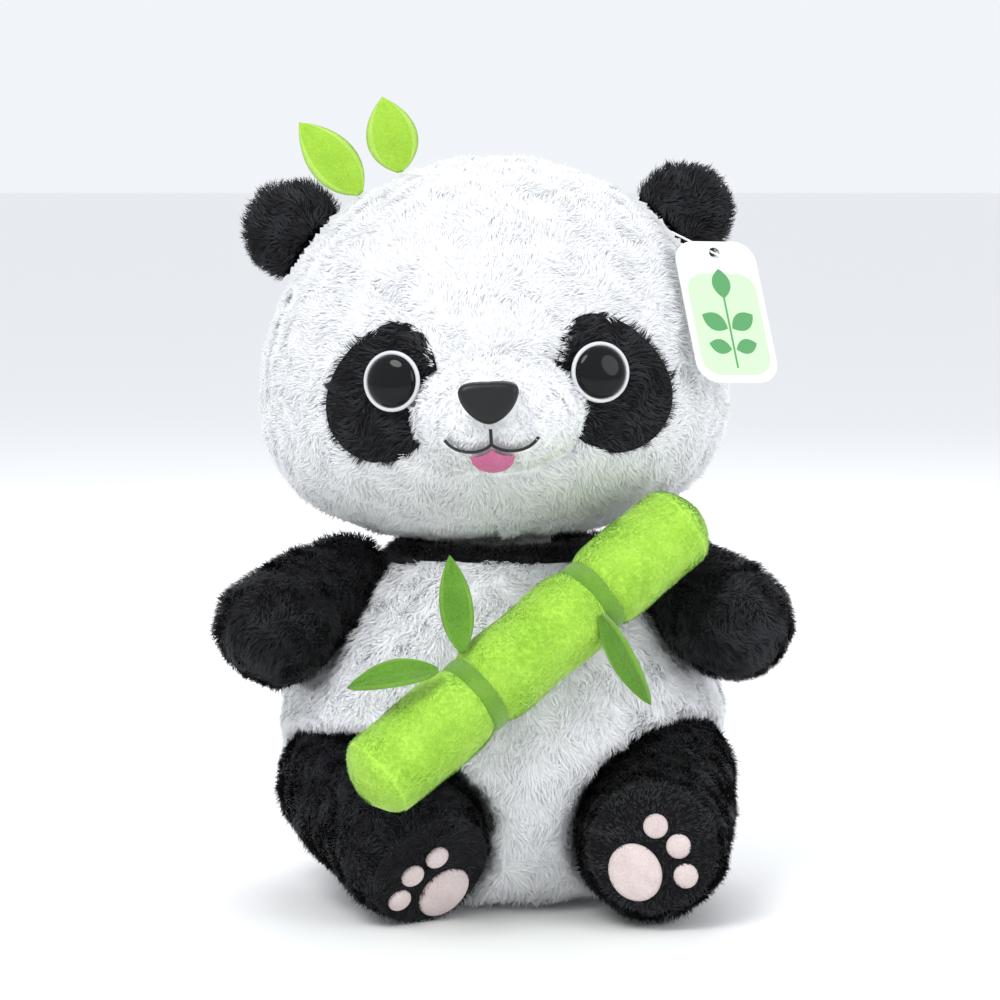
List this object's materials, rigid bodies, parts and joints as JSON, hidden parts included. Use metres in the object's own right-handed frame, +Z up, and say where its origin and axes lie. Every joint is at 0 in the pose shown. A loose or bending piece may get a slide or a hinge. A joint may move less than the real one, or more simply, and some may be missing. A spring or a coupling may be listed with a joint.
{
  "type": "plush panda",
  "caption": "Seated plush panda holding a stuffed bamboo cane, with a bending neck, arms, legs and ears, felt leaves on its head and a card hang tag",
  "frame": {"origin": "on the table at the middle of the seat's width", "axes": "+Z up, the face looks along -Y, +X to the panda's left"},
  "size_m": [0.233, 0.2614, 0.3222],
  "materials": {
    "white_plush": "soft pile",
    "black_plush": "soft pile",
    "fibre": "loose fibre",
    "pad_cloth": "short smooth pile",
    "stalk_plush": "short pile",
    "leaf_felt": "felt",
    "sprout_felt": "felt",
    "pellets": "bag of plastic pellets",
    "eye_black": "gloss",
    "eye_white": "satin",
    "nose_plastic": "semi gloss",
    "washer_plastic": "matt",
    "thread": "thread",
    "tongue_felt": "felt",
    "card": "printed card, satin",
    "pin_plastic": "clear",
    "label_cloth": "woven ribbon"
  },
  "bodies": {
    "torso": {"belly_panel": "white_plush", "back_panel": "white_plush", "yoke_front": "black_plush", "yoke_back": "black_plush", "base_panel": "white_plush", "pellet_bag": "pellets", "torso_stuffing": "fibre", "tail": "white_plush", "care_label": "label_cloth"},
    "neck": {"neck_stuffing": "fibre"},
    "head": {"head_panel_right": "white_plush", "head_panel_left": "white_plush", "head_stuffing": "fibre", "muzzle_panel": "white_plush", "muzzle_stuffing": "fibre", "nose": "nose_plastic", "nose_washer": "washer_plastic", "mouth_thread": "thread", "tongue": "tongue_felt", "tag_pin": "pin_plastic", "eye_patch_right": "black_plush", "eye_stud_right": "eye_black", "eye_ring_right": "eye_white", "eye_lens_right": "eye_black", "eye_washer_right": "washer_plastic", "eye_patch_left": "black_plush", "eye_stud_left": "eye_black", "eye_ring_left": "eye_white", "eye_lens_left": "eye_black", "eye_washer_left": "washer_plastic"},
    "arm_right": {"arm_skin_right": "black_plush", "arm_stuffing_right": "fibre"},
    "leg_right": {"leg_skin_right": "black_plush", "leg_stuffing_right": "fibre", "sole_right": "black_plush", "main_pad_right": "pad_cloth", "toe_pad_inner_right": "pad_cloth", "toe_pad_middle_right": "pad_cloth", "toe_pad_outer_right": "pad_cloth"},
    "ear_flap_right": {"ear_right": "black_plush"},
    "arm_left": {"arm_skin_left": "black_plush", "arm_stuffing_left": "fibre"},
    "leg_left": {"leg_skin_left": "black_plush", "leg_stuffing_left": "fibre", "sole_left": "black_plush", "main_pad_left": "pad_cloth", "toe_pad_inner_left": "pad_cloth", "toe_pad_middle_left": "pad_cloth", "toe_pad_outer_left": "pad_cloth"},
    "ear_flap_left": {"ear_left": "black_plush"},
    "cane": {"cane_skin": "stalk_plush", "cane_stuffing": "fibre", "cane_band_low": "leaf_felt", "cane_band_high": "leaf_felt"},
    "leaf_up": {"cane_leaf_up": "leaf_felt"},
    "leaf_side": {"cane_leaf_side": "leaf_felt"},
    "leaf_hang": {"cane_leaf_hang": "leaf_felt"},
    "sprout_flap_tall": {"sprout_tall": "sprout_felt"},
    "sprout_flap_side": {"sprout_side": "sprout_felt"},
    "tag": {"tag_card": "card"}
  },
  "joints": [
    {"name": "neck_nod", "type": "hinge", "parent": "torso", "child": "neck", "pos_m": [-0.001, -0.006, 0.138], "axis": [1, 0, 0], "range_deg": [-4, 4], "stiffness_Nm_per_rad": 2},
    {"name": "neck_turn", "type": "hinge", "parent": "neck", "child": "head", "pos_m": [-0.001, -0.006, 0.138], "axis": [0, 0, 1], "range_deg": [-15, 15], "stiffness_Nm_per_rad": 0.6},
    {"name": "shoulder_right", "type": "hinge", "parent": "torso", "child": "arm_right", "pos_m": [-0.064, -0.021, 0.1275], "axis": [0, 1, 0], "range_deg": [0, 25], "stiffness_Nm_per_rad": 0.15},
    {"name": "hip_right", "type": "hinge", "parent": "torso", "child": "leg_right", "pos_m": [-0.062, -0.04, 0.045], "axis": [0, 0, -1], "range_deg": [0, 20], "stiffness_Nm_per_rad": 0.3},
    {"name": "ear_bend_right", "type": "hinge", "parent": "head", "child": "ear_flap_right", "pos_m": [-0.07934, 0.00557, 0.26183], "axis": [0.628, -0.0231, 0.7779], "range_deg": [-8, 8], "stiffness_Nm_per_rad": 0.02},
    {"name": "shoulder_left", "type": "hinge", "parent": "torso", "child": "arm_left", "pos_m": [0.065, -0.021, 0.132], "axis": [0, -1, 0], "range_deg": [0, 25], "stiffness_Nm_per_rad": 0.15},
    {"name": "hip_left", "type": "hinge", "parent": "torso", "child": "leg_left", "pos_m": [0.066, -0.04, 0.047], "axis": [0, 0, 1], "range_deg": [0, 20], "stiffness_Nm_per_rad": 0.3},
    {"name": "ear_bend_left", "type": "hinge", "parent": "head", "child": "ear_flap_left", "pos_m": [0.06822, 0.00042, 0.26827], "axis": [-0.6934, 0.0231, 0.7202], "range_deg": [-8, 8], "stiffness_Nm_per_rad": 0.02},
    {"name": "sprout_bend_tall", "type": "hinge", "parent": "head", "child": "sprout_flap_tall", "pos_m": [-0.04182, 0.00122, 0.29119], "axis": [0.9626, 0.1555, 0.2218], "range_deg": [-6, 8], "stiffness_Nm_per_rad": 0.004},
    {"name": "sprout_bend_side", "type": "hinge", "parent": "head", "child": "sprout_flap_side", "pos_m": [-0.05794, 0.00179, 0.28248], "axis": [0.7325, 0.2375, 0.638], "range_deg": [-6, 8], "stiffness_Nm_per_rad": 0.004},
    {"name": "cane_tilt", "type": "hinge", "parent": "torso", "child": "cane", "pos_m": [0.00218, -0.10948, 0.103], "axis": [0, 1, 0], "range_deg": [-3, 4], "stiffness_Nm_per_rad": 0.4},
    {"name": "leaf_bend_up", "type": "hinge", "parent": "cane", "child": "leaf_up", "pos_m": [-0.015, -0.121, 0.1105], "axis": [0.9913, 0.0258, 0.1291], "range_deg": [-12, 12], "stiffness_Nm_per_rad": 0.004},
    {"name": "leaf_bend_side", "type": "hinge", "parent": "cane", "child": "leaf_side", "pos_m": [-0.024, -0.131, 0.1055], "axis": [-0.2238, 0.6035, 0.7653], "range_deg": [-3, 15], "stiffness_Nm_per_rad": 0.004},
    {"name": "leaf_bend_hang", "type": "hinge", "parent": "cane", "child": "leaf_hang", "pos_m": [0.038, -0.112, 0.124], "axis": [-0.7383, 0.5537, -0.385], "range_deg": [-6, 15], "stiffness_Nm_per_rad": 0.004},
    {"name": "tag_swing", "type": "hinge", "parent": "head", "child": "tag", "pos_m": [0.085, -0.035, 0.259], "axis": [0.3797, -0.8143, 0.4389], "range_deg": [-3, 12]}
  ]
}
